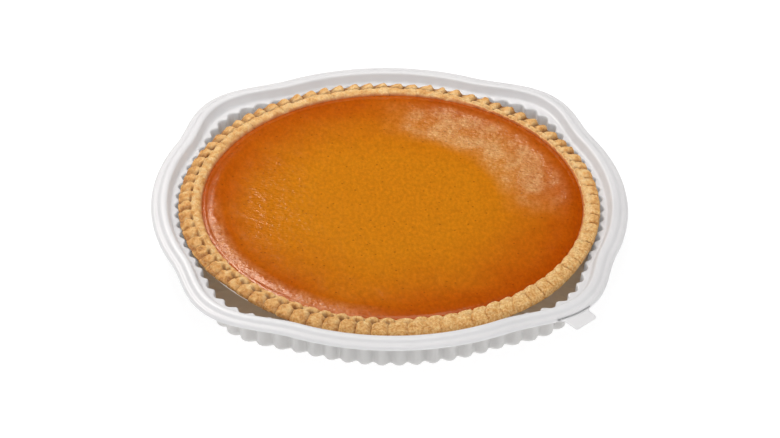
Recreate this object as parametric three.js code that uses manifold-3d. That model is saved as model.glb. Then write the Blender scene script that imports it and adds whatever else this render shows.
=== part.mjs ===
// A twelve-inch pumpkin pie in its foil pan, standing in a white thermoformed tray.
//
// Millimetres, +Z up, with the origin on the underside of the tray, at its centre.
// The tray's four lobes point along the diagonals of X and Y, and its pull tab is near the -Y +X lobe.
//
// Every piece is a stack of closed rings, from the middle of its upper face, out over its edge and back
// to the middle of its underside. A ring is a radius and a height, each a number or a function of angle.

import * as THREE from "three";
import { mergeVertices } from "three/addons/utils/BufferGeometryUtils.js";
import Module from "manifold-3d";

const wasm = await Module();
wasm.setup();

// ---- Driving dimensions, in millimetres ----

const GAP = 0.3; // clearance kept between pieces that touch

// The tray: one thin sheet
const SHEET = 0.8; // thickness
const BEAD_TOP = 34.7; // height of the rim's rounded bead, the tray's highest line
const GROOVE = 33.0; // the shallow groove outside the bead
const LEDGE = 27.8; // the flat ledge inside the bead
const SKIRT_FOOT = 30.5; // lower edge of the turned-down outer edge
const RIM_RADIUS = 168.2; // the groove's radius between the lobes
const RIM_LOBE = 12.6; // how much further out the groove runs at each lobe
const RIM_LOBE_HALF = 20.5; // degrees from a lobe's middle to its end, at the rim
const WALL_RADIUS = 153.8; // middle radius of the fluted wall at the ledge
const WALL_LOBE = 10.2; // how much further out the wall runs at each lobe
const WALL_LOBE_HALF = 21.5; // degrees from a lobe's middle to its end, at the wall
const WALL_DRAFT = 1.8; // how much the wall leans in on its way down
const FLUTES = 80; // ribs round the wall
const FLUTE_DEPTH = 3.4; // from a rib's crown to the valley beside it
const FLOOR_CORNER = 2.4; // size of the rounded corner between wall and floor
const FLOOR_FLAT = 120; // the floor is plain out to here
const BEND = 0.9; // small bends in the sheet
const LEDGE_END = -9.8; // from the groove's line in to where the ledge meets the bead's inner side
const BEAD_INNER = -6.3; // from the groove's line in to the bead's flat top
const BEAD_OUTER = -2.4; // and to its outer side
const GROOVE_EDGE = 0.6; // half the width of the groove
const FLANGE_EDGE = 2.8; // from the groove's line out to where the edge starts to turn down
const SKIRT = 4.8; // and to the turned-down edge

// The pull tab on the rim
const TAB_ANGLE = 311; // degrees
const TAB_REACH = 10.2; // how far it stands out of the skirt
const TAB_HALF_WIDTH = 10.2;
const TAB_ROOT_FILLET = 3.5;
const TAB_CORNER = 2.0;
const TAB_LIFT = 0.05; // height of its underside above the skirt's lower edge

// The pie
const PIE_X = -0.4; // the pie stands a little to the left
const PIE_Y = -1.5; // and towards the front of its tray
const RIM_UNDERSIDE = 29.2; // the pastry rim's flat underside, on the pan's flange
const CREST = 34.7; // highest points of the crimps
const CREST_RADIUS = 148.6;
const CRIMP_GAP = 30.5; // height of the valleys between the crimps
const CRUST_RADIUS = 153.0; // out to the crimps' outer edge
const CRIMPS = 82; // pinches round the pastry rim
const CRIMP_NOTCH = 1.2; // how much further in the rim's outer edge lies between two crimps
const CRIMP_SKEW = 0.25; // a crimp is highest this share of its width from its clockwise end
const CRIMP_FOOT = 31.0; // height where the crimps rise from the lip
const CRIMP_SHOULDER = 33.6; // their height a little way out from there
const SHOULDER_OUT = 1.8; // and how far out that is
const CRIMP_EDGE = 32.8; // height of their outer shoulder
const EDGE_IN = 0.8; // and how far that lies inside the outer edge
const EDGE_FOOT = 0.5; // height of the outer edge's foot above the rim's underside
const PASTRY = 4.5; // thickness of the pastry under the filling
const LIP_WIDE = 5.4; // width of the smooth lip inside the crimps, where it is widest
const LIP_NARROW = 1.5; // and where it is narrowest
const LIP_MIDDLE = 135; // degrees, the direction in which the lip is widest
const LIP_FULL = 48; // degrees on each side of that over which it keeps its width
const LIP_FADE = 88; // degrees from that to where it has become narrow
const LIP_CROWN = 0.9; // how high the lip's rounded middle stands above its edges
const FILLING_X = 2.0; // the filling's disc lies a little to the right of the pastry's
const FILLING_RADIUS = 138.0;
const FILLING_EDGE = 29.7; // height of the filling where it meets the pastry
const FILLING_SWELL = 30.2; // the low ring just inside that edge
const SWELL_WIDTH = 12; // and its width
const FILLING_MIDDLE = 29.2;
const FILLING_SIDE = 0.5; // the pastry's inner edge stands this much above the filling's

// The foil pan
const FOIL = 0.5; // thickness
const FLANGE_TOP = RIM_UNDERSIDE - GAP;
const FLANGE_RADIUS = 151.9; // out to the hem
const HEM = 0.5; // half the width of the rolled hem
const PAN_MOUTH = 144.2; // inner radius where the side meets the flange
const PAN_BOTTOM = 121.0; // inner radius where the side meets the bottom

// Points round one ring
const PLAIN_POINTS = 84;
const FLUTED_POINTS = FLUTES * 4;
const CRIMPED_POINTS = CRIMPS * 4;
const ROUND_POINTS = 80;

// ---- Rings and lofts ----

const at = (value, angle) => (typeof value === "function" ? value(angle) : value);

/** A closed ring of points, evenly spaced by angle round a centre. */
function ring(count, radius, height, centre = [0, 0]) {
  return Array.from({ length: count }, (_, k) => {
    const angle = (2 * Math.PI * k) / count;
    const r = at(radius, angle);
    return [centre[0] + r * Math.cos(angle), centre[1] + r * Math.sin(angle), at(height, angle)];
  });
}

/** The single point that closes a stack of rings in its middle. */
function pole(height, centre = [0, 0]) {
  return [[centre[0], centre[1], height]];
}

/** Triangles between two rings, stepping along whichever ring lags behind in angle. */
function band(first, second, firstStart, secondStart) {
  const firstSteps = first.length > 1 ? first.length : 0;
  const secondSteps = second.length > 1 ? second.length : 0;
  const triangles = [];
  let i = 0;
  let j = 0;
  while (i < firstSteps || j < secondSteps) {
    const a = firstStart + (i % first.length);
    const b = secondStart + (j % second.length);
    const firstNext = firstSteps ? (i + 1) / firstSteps : Infinity;
    const secondNext = secondSteps ? (j + 1) / secondSteps : Infinity;
    if (secondNext <= firstNext) {
      j += 1;
      triangles.push(a, b, secondStart + (j % second.length));
    } else {
      i += 1;
      triangles.push(a, b, firstStart + (i % first.length));
    }
  }
  return triangles;
}

/** The closed skin over a stack of rings that starts and ends at a pole. */
function loft(rings) {
  const starts = [];
  let count = 0;
  for (const points of rings) {
    starts.push(count);
    count += points.length;
  }
  const triangles = [];
  for (let k = 0; k + 1 < rings.length; k += 1) {
    triangles.push(...band(rings[k], rings[k + 1], starts[k], starts[k + 1]));
  }
  const geometry = new THREE.BufferGeometry();
  geometry.setAttribute("position", new THREE.Float32BufferAttribute(rings.flat(2), 3));
  geometry.setIndex(triangles);
  return geometry;
}

// ---- Joining two closed meshes ----

function toSolid(geometry) {
  const bare = geometry.clone();
  bare.deleteAttribute("normal");
  bare.deleteAttribute("uv");
  const merged = mergeVertices(bare);
  return new wasm.Manifold(
    new wasm.Mesh({
      numProp: 3,
      vertProperties: new Float32Array(merged.attributes.position.array),
      triVerts: new Uint32Array(merged.index.array),
    }),
  );
}

function toGeometry(solid) {
  const mesh = solid.getMesh();
  const geometry = new THREE.BufferGeometry();
  geometry.setAttribute("position", new THREE.BufferAttribute(mesh.vertProperties, 3));
  geometry.setIndex(new THREE.BufferAttribute(mesh.triVerts, 1));
  return geometry;
}

// ---- The tray ----

/** 1 in the middle of the nearest lobe, falling as a squared cosine to 0 at its two ends. */
function lobe(angle, halfWidth) {
  const degrees = THREE.MathUtils.radToDeg(angle);
  const fromDiagonal = Math.abs(THREE.MathUtils.euclideanModulo(degrees, 90) - 45);
  return fromDiagonal < halfWidth ? Math.cos((Math.PI / 2) * (fromDiagonal / halfWidth)) ** 2 : 0;
}

/** The rim's line, so far outside (+) or inside (-) of the groove. */
function rimLine(offset) {
  return (angle) => RIM_RADIUS + RIM_LOBE * lobe(angle, RIM_LOBE_HALF) + offset;
}

/** The fluted wall: a cosine wave whose crowns are broader than its valleys. */
function wallLine(offset) {
  return (angle) => {
    const turn = FLUTES * angle;
    const flute = Math.cos(turn) + 0.25 * Math.sin(turn) ** 2;
    return WALL_RADIUS + WALL_LOBE * lobe(angle, WALL_LOBE_HALF) + (flute * FLUTE_DEPTH) / 2 + offset;
  };
}

function trayShell() {
  const fluted = (offset, height) => ring(FLUTED_POINTS, wallLine(offset), height);
  const plain = (offset, height) => ring(PLAIN_POINTS, rimLine(offset), height);
  return loft([
    pole(SHEET),
    ring(ROUND_POINTS, FLOOR_FLAT, SHEET),
    fluted(-WALL_DRAFT - 0.8 * FLOOR_CORNER, SHEET),
    fluted(-WALL_DRAFT, SHEET + FLOOR_CORNER),
    fluted(0, LEDGE - BEND),
    fluted(BEND, LEDGE),
    plain(LEDGE_END, LEDGE),
    plain(BEAD_INNER - BEND, BEAD_TOP - BEND),
    plain(BEAD_INNER, BEAD_TOP),
    plain(BEAD_OUTER, BEAD_TOP),
    plain(-GROOVE_EDGE, GROOVE),
    plain(GROOVE_EDGE, GROOVE),
    plain(FLANGE_EDGE, GROOVE),
    plain(SKIRT - BEND / 2, GROOVE - BEND),
    plain(SKIRT, SKIRT_FOOT),
    plain(SKIRT - SHEET, SKIRT_FOOT),
    plain(SKIRT - SHEET - BEND / 2, GROOVE - BEND - SHEET),
    plain(-GROOVE_EDGE, GROOVE - SHEET),
    plain(BEAD_OUTER - BEND / 2, BEAD_TOP - SHEET),
    plain(BEAD_INNER + BEND / 2, BEAD_TOP - SHEET),
    plain(LEDGE_END + SHEET, LEDGE - SHEET),
    fluted(SHEET, LEDGE - SHEET),
    fluted(SHEET - WALL_DRAFT, FLOOR_CORNER),
    fluted(SHEET - WALL_DRAFT - FLOOR_CORNER, 0),
    ring(ROUND_POINTS, FLOOR_FLAT, 0),
    pole(0),
  ]);
}

/** The pull tab: a flat tongue with hollow root corners, whose inner edge follows the skirt. */
function pullTab() {
  const middle = THREE.MathUtils.degToRad(TAB_ANGLE);
  const skirt = rimLine(SKIRT);
  const skirtAt = (across) => {
    const turn = Math.asin(across / skirt(middle));
    return skirt(middle + turn) * Math.cos(turn);
  };
  const tip = skirt(middle) + TAB_REACH;
  const rootHalf = TAB_HALF_WIDTH + TAB_ROOT_FILLET;
  const rootSteps = 8;
  const outline = new THREE.Shape();
  outline.moveTo(skirtAt(rootHalf) - SHEET / 2, rootHalf);
  for (let k = 1; k <= rootSteps; k += 1) {
    const across = rootHalf * (1 - (2 * k) / rootSteps);
    outline.lineTo(skirtAt(across) - SHEET / 2, across);
  }
  const low = skirtAt(-TAB_HALF_WIDTH);
  outline.quadraticCurveTo(low, -TAB_HALF_WIDTH, low + TAB_ROOT_FILLET, -TAB_HALF_WIDTH);
  outline.lineTo(tip - TAB_CORNER, -TAB_HALF_WIDTH);
  outline.quadraticCurveTo(tip, -TAB_HALF_WIDTH, tip, TAB_CORNER - TAB_HALF_WIDTH);
  outline.lineTo(tip, TAB_HALF_WIDTH - TAB_CORNER);
  outline.quadraticCurveTo(tip, TAB_HALF_WIDTH, tip - TAB_CORNER, TAB_HALF_WIDTH);
  const high = skirtAt(TAB_HALF_WIDTH);
  outline.lineTo(high + TAB_ROOT_FILLET, TAB_HALF_WIDTH);
  outline.quadraticCurveTo(high, TAB_HALF_WIDTH, skirtAt(rootHalf) - SHEET / 2, rootHalf);
  const geometry = new THREE.ExtrudeGeometry(outline, {
    depth: SHEET,
    bevelEnabled: false,
    curveSegments: 4,
  });
  geometry.rotateZ(middle);
  geometry.translate(0, 0, SKIRT_FOOT + TAB_LIFT);
  return geometry;
}

function tray() {
  return toGeometry(toSolid(trayShell()).add(toSolid(pullTab())));
}

// ---- The pie and its pan ----

/** How far anticlockwise a direction lies between two valleys of the crimps, from 0 to 1. */
function crimpPhase(angle) {
  return THREE.MathUtils.euclideanModulo((CRIMPS * angle) / (2 * Math.PI), 1);
}

/** A crimp's inner end: an arch, 1 in its middle and 0 in the valleys. */
function innerCrimp(angle) {
  return 1 - (2 * crimpPhase(angle) - 1) ** 2;
}

/** A crimp's outer part: it rises steeply at its clockwise end and falls off in a long curve. */
function outerCrimp(angle) {
  const phase = crimpPhase(angle);
  if (phase < CRIMP_SKEW) return phase / CRIMP_SKEW;
  return 1 - ((phase - CRIMP_SKEW) / (1 - CRIMP_SKEW)) ** 2;
}

const PIE = [PIE_X, PIE_Y];
const DISC = [FILLING_X, PIE_Y];

/** The radius, round the pie's centre, at which the smooth lip ends and the crimps begin. */
function crimpLine(angle) {
  const degrees = THREE.MathUtils.radToDeg(angle);
  const away = Math.abs(THREE.MathUtils.euclideanModulo(degrees - LIP_MIDDLE + 180, 360) - 180);
  const share = 1 - THREE.MathUtils.smoothstep(away, LIP_FULL, LIP_FADE);
  const discEdge = FILLING_RADIUS + (FILLING_X - PIE_X) * Math.cos(angle);
  return discEdge + LIP_NARROW + (LIP_WIDE - LIP_NARROW) * share;
}

/** The pastry: a shallow bowl whose rim is pinched into pads, with a smooth lip inside them. */
function crust() {
  const shellBottom = SHEET + GAP + FOIL + GAP;
  const lipEdge = FILLING_RADIUS + 3 * GAP;
  const relief = (hump, radius, notch, valley, crown) =>
    ring(
      CRIMPED_POINTS,
      (angle) => at(radius, angle) - notch * (1 - hump(angle)),
      (angle) => valley + (crown - valley) * hump(angle),
      PIE,
    );
  const lipMiddle = (angle) => (lipEdge + (FILLING_X - PIE_X) * Math.cos(angle) + crimpLine(angle)) / 2;
  return loft([
    pole(shellBottom + PASTRY, DISC),
    ring(CRIMPS, PAN_BOTTOM - PASTRY, shellBottom + PASTRY, DISC),
    ring(CRIMPS, lipEdge, FILLING_EDGE + FILLING_SIDE, DISC),
    ring(CRIMPS, lipMiddle, (FILLING_EDGE + CRIMP_FOOT) / 2 + LIP_CROWN, PIE),
    relief(innerCrimp, crimpLine, 0, CRIMP_FOOT, CRIMP_FOOT),
    relief(innerCrimp, (angle) => crimpLine(angle) + SHOULDER_OUT, 0, CRIMP_GAP, CRIMP_SHOULDER),
    relief(outerCrimp, CREST_RADIUS, 0, CRIMP_GAP, CREST),
    relief(outerCrimp, CRUST_RADIUS - EDGE_IN, CRIMP_NOTCH, RIM_UNDERSIDE + 2 * EDGE_FOOT, CRIMP_EDGE),
    relief(outerCrimp, CRUST_RADIUS, CRIMP_NOTCH, RIM_UNDERSIDE + EDGE_FOOT, RIM_UNDERSIDE + EDGE_FOOT),
    ring(CRIMPS, CRUST_RADIUS - CRIMP_NOTCH - EDGE_FOOT, RIM_UNDERSIDE, PIE),
    ring(CRIMPS, PAN_MOUTH - GAP, RIM_UNDERSIDE, PIE),
    ring(CRIMPS, PAN_BOTTOM - 2 * GAP, shellBottom, PIE),
    pole(shellBottom, PIE),
  ]);
}

/** The filling: a thick disc with a low swell near its edge and a slightly sunken middle. */
function filling() {
  const bottom = SHEET + GAP + FOIL + GAP + PASTRY + GAP;
  const round = (radius, height) => ring(ROUND_POINTS, radius, height, DISC);
  return loft([
    pole(FILLING_MIDDLE, DISC),
    round(0.5 * FILLING_RADIUS, FILLING_MIDDLE),
    round(FILLING_RADIUS - 2 * SWELL_WIDTH, FILLING_EDGE),
    round(FILLING_RADIUS - SWELL_WIDTH, FILLING_SWELL),
    round(FILLING_RADIUS - 0.5 * SWELL_WIDTH, FILLING_SWELL),
    round(FILLING_RADIUS, FILLING_EDGE),
    round(PAN_BOTTOM - PASTRY - 2 * GAP, bottom),
    pole(bottom, DISC),
  ]);
}

/** The foil pan: a sloping side under a flat flange with a rolled hem. */
function foilPan() {
  const bottom = SHEET + GAP;
  const round = (radius, height) => ring(ROUND_POINTS, radius, height, PIE);
  return loft([
    pole(bottom + FOIL, PIE),
    round(PAN_BOTTOM, bottom + FOIL),
    round(PAN_MOUTH, FLANGE_TOP),
    round(FLANGE_RADIUS - HEM, FLANGE_TOP),
    round(FLANGE_RADIUS, (FLANGE_TOP + LEDGE + GAP) / 2),
    round(FLANGE_RADIUS - HEM, LEDGE + GAP),
    round(FLANGE_RADIUS - 2 * HEM, FLANGE_TOP - FOIL),
    round(PAN_MOUTH + FOIL, FLANGE_TOP - FOIL),
    round(PAN_BOTTOM + FOIL, bottom),
    pole(bottom, PIE),
  ]);
}

// ---- The object ----

function piece(name, geometry, color, roughness, metalness) {
  const mesh = new THREE.Mesh(geometry, new THREE.MeshStandardMaterial({ color, roughness, metalness }));
  mesh.name = name;
  return mesh;
}

const pumpkinPie = new THREE.Group();
pumpkinPie.add(piece("tray", tray(), 0xe6e2e2, 0.35, 0));
pumpkinPie.add(piece("foil_pan", foilPan(), 0xb8b4ae, 0.3, 1));
pumpkinPie.add(piece("crust", crust(), 0xdca86c, 0.75, 0));
pumpkinPie.add(piece("filling", filling(), 0xc77616, 0.4, 0));

export default pumpkinPie;
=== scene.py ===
# %% [markdown]
# # A twelve-inch pumpkin pie in its tray
# This lesson dresses four plain CAD solids as food and packaging: a white thermoformed tray, a foil pan,
# a crimped pastry crust and a baked custard filling. Each solid is replaced by a surface that is worked out
# as a grid of points with numpy, so that every ridge and dimple is real geometry, and each surface then gets
# a node material made of procedural patterns.
# The frame comes first. It holds the solids in the places that the collision model uses.

# %% Load the frame
import math

import bpy
import numpy as np
from mathutils import Matrix, Vector


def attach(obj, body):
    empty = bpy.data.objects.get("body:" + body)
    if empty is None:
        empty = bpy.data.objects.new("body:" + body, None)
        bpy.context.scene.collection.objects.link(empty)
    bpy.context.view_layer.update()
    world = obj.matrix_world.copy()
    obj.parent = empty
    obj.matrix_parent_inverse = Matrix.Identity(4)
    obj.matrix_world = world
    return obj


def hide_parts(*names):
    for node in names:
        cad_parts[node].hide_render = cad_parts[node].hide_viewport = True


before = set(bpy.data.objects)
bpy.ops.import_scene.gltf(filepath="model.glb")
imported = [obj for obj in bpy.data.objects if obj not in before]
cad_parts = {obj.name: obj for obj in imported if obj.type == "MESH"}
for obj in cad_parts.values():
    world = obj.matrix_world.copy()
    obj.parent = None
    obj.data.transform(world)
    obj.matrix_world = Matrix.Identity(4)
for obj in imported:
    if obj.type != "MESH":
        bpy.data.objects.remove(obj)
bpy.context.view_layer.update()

print("solids:", sorted(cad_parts))

# %% [markdown]
# ## Working units
# A baker's sizes are easiest to read in millimetres, so every shape below is worked out in millimetres and
# becomes metres only when it is put into a mesh. Heights start at the surface that the tray stands on, which
# is also where the frame has its zero. Directions are angles round the pie, anticlockwise seen from above:
# 0 is the right-hand side, 90 the back, 180 the left and 270 the front.
# Three small tools are shared by all the shapes. `smooth` is the usual soft step between two values, `mix`
# blends two values, and `waves` is a gentle random relief: a sum of cosines that run in random directions,
# each with a wavelength near the size that is asked for. It could be a noise texture and a Displace modifier
# instead, but a sum of cosines is easy to repeat exactly and works on any array of points.

# %% Units and shared tools
MM = 0.001
SHORTEST_WAVE, LONGEST_WAVE = 0.7, 1.6


def smooth(low, high, value):
    """0 below low, 1 above high, and 3t^2 - 2t^3 between them."""
    t = np.clip((value - low) / (high - low), 0.0, 1.0)
    return t * t * (3.0 - 2.0 * t)


def mix(first, second, share):
    """The first value where share is 0, the second where it is 1, and a straight blend between them."""
    return first + (second - first) * share


def waves(points, size, seed, count=40):
    """Random relief with a spread of 1: a sum of cosines with wavelengths between 0.7 and 1.6 of size."""
    draw = np.random.default_rng(seed)
    directions = draw.normal(size=(count, 3))
    directions /= np.linalg.norm(directions, axis=1)[:, None]
    lengths = size * draw.uniform(SHORTEST_WAVE, LONGEST_WAVE, count)
    starts = draw.uniform(0.0, 2.0 * np.pi, count)
    total = np.zeros(points.shape[:-1])
    for direction, length, start in zip(directions, lengths, starts):
        total += np.cos(points @ (direction * (2.0 * np.pi / length)) + start)
    return total * math.sqrt(2.0 / count)


print("a soft step half way:", float(smooth(0.0, 1.0, np.array(0.5))))

# %% [markdown]
# ## From a grid of points to a mesh
# All four pieces are turned shapes: a stack of closed rings that starts at a point in the middle of the top,
# runs out over the edge and comes back to a point in the middle of the underside. A stack is a grid with one
# row for each ring and one column for each angle, so its faces are known in advance: a quad between each pair
# of neighbours, and a fan of triangles at the two middles. The mesh is filled with `foreach_set`, which takes
# whole arrays. A mesh can also carry marks, one number for every point, which the finish reads later.
# The Spin tool could turn a profile too, but here every ring may have an outline of its own.

# %% Rings and their faces
def circle(count):
    """Evenly spaced angles, anticlockwise from +X, without repeating the first."""
    return np.arange(count) * (2.0 * np.pi / count)


def ring(angle, radius, height, centre=(0.0, 0.0)):
    """One closed row of points round a centre."""
    x = centre[0] + radius * np.cos(angle)
    y = centre[1] + radius * np.sin(angle)
    return np.stack([x, y, np.broadcast_to(height, x.shape)], axis=-1)


def stack_points(rings, top, bottom):
    """The points of a closed stack in one list, with its two poles at the end."""
    return np.concatenate([rings.reshape(-1, 3), [top, bottom]])


def stack_faces(rows, columns):
    """Corner numbers of a closed stack: quads between the rows, then a fan at each of its two poles."""
    here = np.arange(rows * columns).reshape(rows, columns)
    beside = np.roll(here, -1, axis=1)
    quads = np.stack([here[:-1], here[1:], beside[1:], beside[:-1]], axis=-1).reshape(-1, 4)
    top, bottom = rows * columns, rows * columns + 1
    over = np.stack([np.full(columns, top), here[0], beside[0]], axis=-1)
    under = np.stack([np.full(columns, bottom), beside[-1], here[-1]], axis=-1)
    return quads, np.concatenate([over, under])


quads, triangles = stack_faces(3, 8)
print("three rings of eight points:", len(quads), "quads and", len(triangles), "triangles")

# %% Filling a mesh
def fill_mesh(name, points, quads, triangles, **marks):
    """A smooth mesh from arrays in millimetres. A mark is a number for every point, kept as an attribute."""
    mesh = bpy.data.meshes.new(name)
    corners = np.concatenate([quads.reshape(-1), triangles.reshape(-1)]).astype(np.int32)
    sizes = np.concatenate([np.full(len(quads), 4), np.full(len(triangles), 3)])
    starts = np.concatenate([[0], np.cumsum(sizes)[:-1]]).astype(np.int32)
    mesh.vertices.add(len(points))
    mesh.loops.add(len(corners))
    mesh.polygons.add(len(sizes))
    mesh.vertices.foreach_set("co", (points * MM).astype(np.float32).reshape(-1))
    mesh.loops.foreach_set("vertex_index", corners)
    mesh.polygons.foreach_set("loop_start", starts)
    for mark, values in marks.items():
        held = mesh.attributes.new(mark, "FLOAT", "POINT")
        held.data.foreach_set("value", values.astype(np.float32).reshape(-1))
    mesh.polygons.foreach_set("use_smooth", np.ones(len(sizes), bool))
    mesh.update(calc_edges=True)
    mesh.validate()
    piece = bpy.data.objects.new(name, mesh)
    bpy.context.scene.collection.objects.link(piece)
    return piece


def join_shells(shells):
    """Points and faces of several closed shells, as one list of each."""
    points, quads, triangles, count = [], [], [], 0
    for shell_points, shell_quads, shell_triangles in shells:
        points.append(shell_points)
        quads.append(shell_quads + count)
        triangles.append(shell_triangles + count)
        count += len(shell_points)
    return np.concatenate(points), np.concatenate(quads), np.concatenate(triangles)


def report(piece):
    """Prints a finished piece's size in millimetres and its number of triangles."""
    spots = np.empty(len(piece.data.vertices) * 3, np.float32)
    piece.data.vertices.foreach_get("co", spots)
    spots = spots.reshape(-1, 3) / MM
    size = np.round(spots.max(0) - spots.min(0), 1)
    triangles = sum(len(face.vertices) - 2 for face in piece.data.polygons)
    top = round(float(spots[:, 2].max()), 2)
    print(piece.name, "mm:", size.tolist(), "top at", top, "triangles:", triangles)


shell = (np.zeros((3 * 8 + 2, 3)), quads, triangles)
joined = join_shells([shell, shell])
print("two such shells joined:", [len(part) for part in joined], "points, quads and triangles")

# %% [markdown]
# ## Rounded profiles
# Sheet that is drawn over a mould has no sharp bends. A profile is given by its few corners, and `soften`
# puts a short curve at each one: it leaves the straight a little before the corner, joins the next straight a
# little after it, and between them follows a quadratic curve that has the corner as its handle.
# A Bevel modifier could round the corners afterwards, but rows that are there from the start keep the mesh
# a grid.

# %% Soft corners
LONGEST_SHARE = 0.45


def soften(corners, reach, steps=5):
    """Rows of a profile with each inner corner replaced by a quadratic curve that starts `reach` mm from it.

    corners is an array of rows whose last two columns are the distance outwards and the height; reach is
    one number for each row. A curve never takes more than 0.45 of the straight beside it."""
    corners = np.asarray(corners, float)
    rows = [corners[:1]]
    for before, corner, after, wanted in zip(corners[:-2], corners[1:-1], corners[2:], reach[1:-1]):
        back, ahead = before - corner, after - corner
        length_back = np.hypot(back[-2], back[-1])
        length_ahead = np.hypot(ahead[-2], ahead[-1])
        share_back = min(LONGEST_SHARE, wanted / max(length_back, 1e-6))
        share_ahead = min(LONGEST_SHARE, wanted / max(length_ahead, 1e-6))
        t = np.linspace(0.0, 1.0, steps)[:, None]
        start, end = corner + share_back * back, corner + share_ahead * ahead
        rows.append((1 - t) ** 2 * start + 2 * t * (1 - t) * corner + t**2 * end)
    rows.append(corners[-1:])
    return np.concatenate(rows)


print("a square corner becomes", len(soften([[0, 0], [9, 0], [9, 9]], [0, 2, 0])), "points")

# %% [markdown]
# ## The tray
# The tray is one sheet of white plastic, heated and drawn over a mould. Going outwards there is a flat
# floor, a wall of eighty upright flutes that stiffen it, a flat ledge, a rounded bead that the lid grips,
# a shallow groove, and an edge that turns down. The rim bulges outwards at four lobes, on the diagonals,
# which leave room for a fingertip beside the pie. It could be a lathed profile with the lobes pulled out by a
# lattice, but the flutes follow one line and the rim another. So each point of the profile says how much it
# follows the wall's line and how much the rim's, and the radius is a blend of the two.

# %% The two lines that the tray follows
SHEET = 0.8
BEAD_TOP = 34.7
GROOVE = 33.0
LEDGE = 27.8
SKIRT_FOOT = 30.5
SKIRT_REACH = 4.8
RIM_RADIUS = 168.2
RIM_LOBE = 12.6
RIM_LOBE_HALF = 20.5
WALL_RADIUS = 153.8
WALL_LOBE = 10.2
WALL_LOBE_HALF = 21.5
WALL_DRAFT = 1.8
FLUTES = 80
FLUTE_DEPTH = 3.4
CROWN_BREADTH = 0.25
FLOOR_CORNER = 2.4
FLOOR_FLAT = 120.0


def lobe(angle, half_width):
    """1 in the middle of the nearest diagonal lobe, falling as a squared cosine to 0 at its two ends."""
    from_diagonal = np.abs(np.mod(np.degrees(angle), 90.0) - 45.0)
    return np.where(from_diagonal < half_width, np.cos(np.pi / 2 * from_diagonal / half_width) ** 2, 0.0)


def rim_line(angle):
    """Radius of the groove: a circle with four lobes."""
    return RIM_RADIUS + RIM_LOBE * lobe(angle, RIM_LOBE_HALF)


def wall_line(angle):
    """Radius of the fluted wall at the ledge: a lobed circle plus a cosine whose crowns are broader."""
    turn = FLUTES * angle
    flute = np.cos(turn) + CROWN_BREADTH * np.sin(turn) ** 2
    return WALL_RADIUS + WALL_LOBE * lobe(angle, WALL_LOBE_HALF) + 0.5 * FLUTE_DEPTH * flute


print("rim radius between lobes and at a lobe:", rim_line(0.0), round(float(rim_line(np.pi / 4)), 1))

# %% The tray's profile
BEND_STEPS = 4
TYPICAL_GAP = RIM_RADIUS - WALL_RADIUS


def tray_profile():
    """The sheet's upper skin from the floor to the skirt's foot, then its lower skin back to the floor.

    A corner is given by its share of the wall's line (the rest is the rim's), its offset from that line, its
    height, and how far from it the bend starts."""
    corners = [
        (1, -WALL_DRAFT - FLOOR_CORNER, SHEET, 1.2),  # edge of the floor
        (1, -WALL_DRAFT, SHEET + FLOOR_CORNER, 1.5),  # foot of the wall
        (1, 0.0, LEDGE - 0.9, 0.6),  # top of the wall
        (1, 0.9, LEDGE, 0.8),  # inner edge of the ledge
        (0, -9.8, LEDGE, 1.4),  # outer edge of the ledge
        (0, -7.4, BEAD_TOP - 0.9, 1.0),  # inner side of the bead
        (0, -6.3, BEAD_TOP, 1.0),
        (0, -2.4, BEAD_TOP, 1.5),  # outer side of the bead
        (0, -0.6, GROOVE + 0.1, 0.8),  # the groove
        (0, 0.5, GROOVE - 0.2, 0.8),
        (0, 2.8, GROOVE - 0.1, 1.0),
        (0, 4.4, GROOVE - 1.1, 0.9),  # the skirt
        (0, SKIRT_REACH, SKIRT_FOOT, 0.3),
        (0, SKIRT_REACH - SHEET, SKIRT_FOOT, 0.3),
        (0, 3.5, GROOVE - 1.6, 0.5),  # from here on, the lower skin
        (0, -0.8, GROOVE - SHEET, 0.5),
        (0, -2.7, BEAD_TOP - SHEET, 0.8),
        (0, -6.0, BEAD_TOP - SHEET, 0.8),
        (0, -9.1, LEDGE - SHEET, 1.0),
        (1, SHEET, LEDGE - SHEET - 0.1, 0.8),
        (1, SHEET - WALL_DRAFT, FLOOR_CORNER, 1.5),
        (1, SHEET - WALL_DRAFT - FLOOR_CORNER, 0.0, 1.2),
    ]
    rows = [(share, offset, offset + TYPICAL_GAP * (1 - share), height)
            for share, offset, height, _ in corners]
    return soften(rows, [corner[3] for corner in corners], BEND_STEPS)


print("tray profile:", len(tray_profile()), "rings")

# %% The tray's shell
FLUTE_SAMPLES = 14


def tray_shell():
    """The sheet as a closed stack: each ring's radius is a blend of the wall's line and the rim's."""
    angle = circle(FLUTES * FLUTE_SAMPLES)
    wall, rim = wall_line(angle), rim_line(angle)
    rows = [ring(angle, FLOOR_FLAT, SHEET)]
    for share, offset, _, height in tray_profile():
        rows.append(ring(angle, share * wall + (1 - share) * rim + offset, height))
    rows.append(ring(angle, FLOOR_FLAT, 0.0))
    points = stack_points(np.array(rows), (0, 0, SHEET), (0, 0, 0))
    return points, *stack_faces(len(rows), len(angle))


def outer_skin():
    """1 for the points of the wall's outer skin and the underside of the floor, which get painted shade, 0
    elsewhere.
    """
    shares = np.concatenate([[1.0], tray_profile()[:, 0], [1.0]])
    second_half = np.arange(len(shares)) > len(shares) // 2
    return np.repeat((shares > 0.5) & second_half, FLUTES * FLUTE_SAMPLES)


print("points on the tray's outer skin:", int(outer_skin().sum()))

# %% [markdown]
# ## The pull tab
# Near the front right lobe a small tongue stands out of the rim. It is part of the same sheet, flat, with
# hollow fillets at its root, and it droops a little. It could be a cube with beveled corners, but then its
# root would cut straight across the curved skirt. So it is a grid whose outline is a half width that depends
# on how far out a point lies: wide at the root, quickly narrowing to the tongue, and rounded at its outer
# corners.

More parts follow.
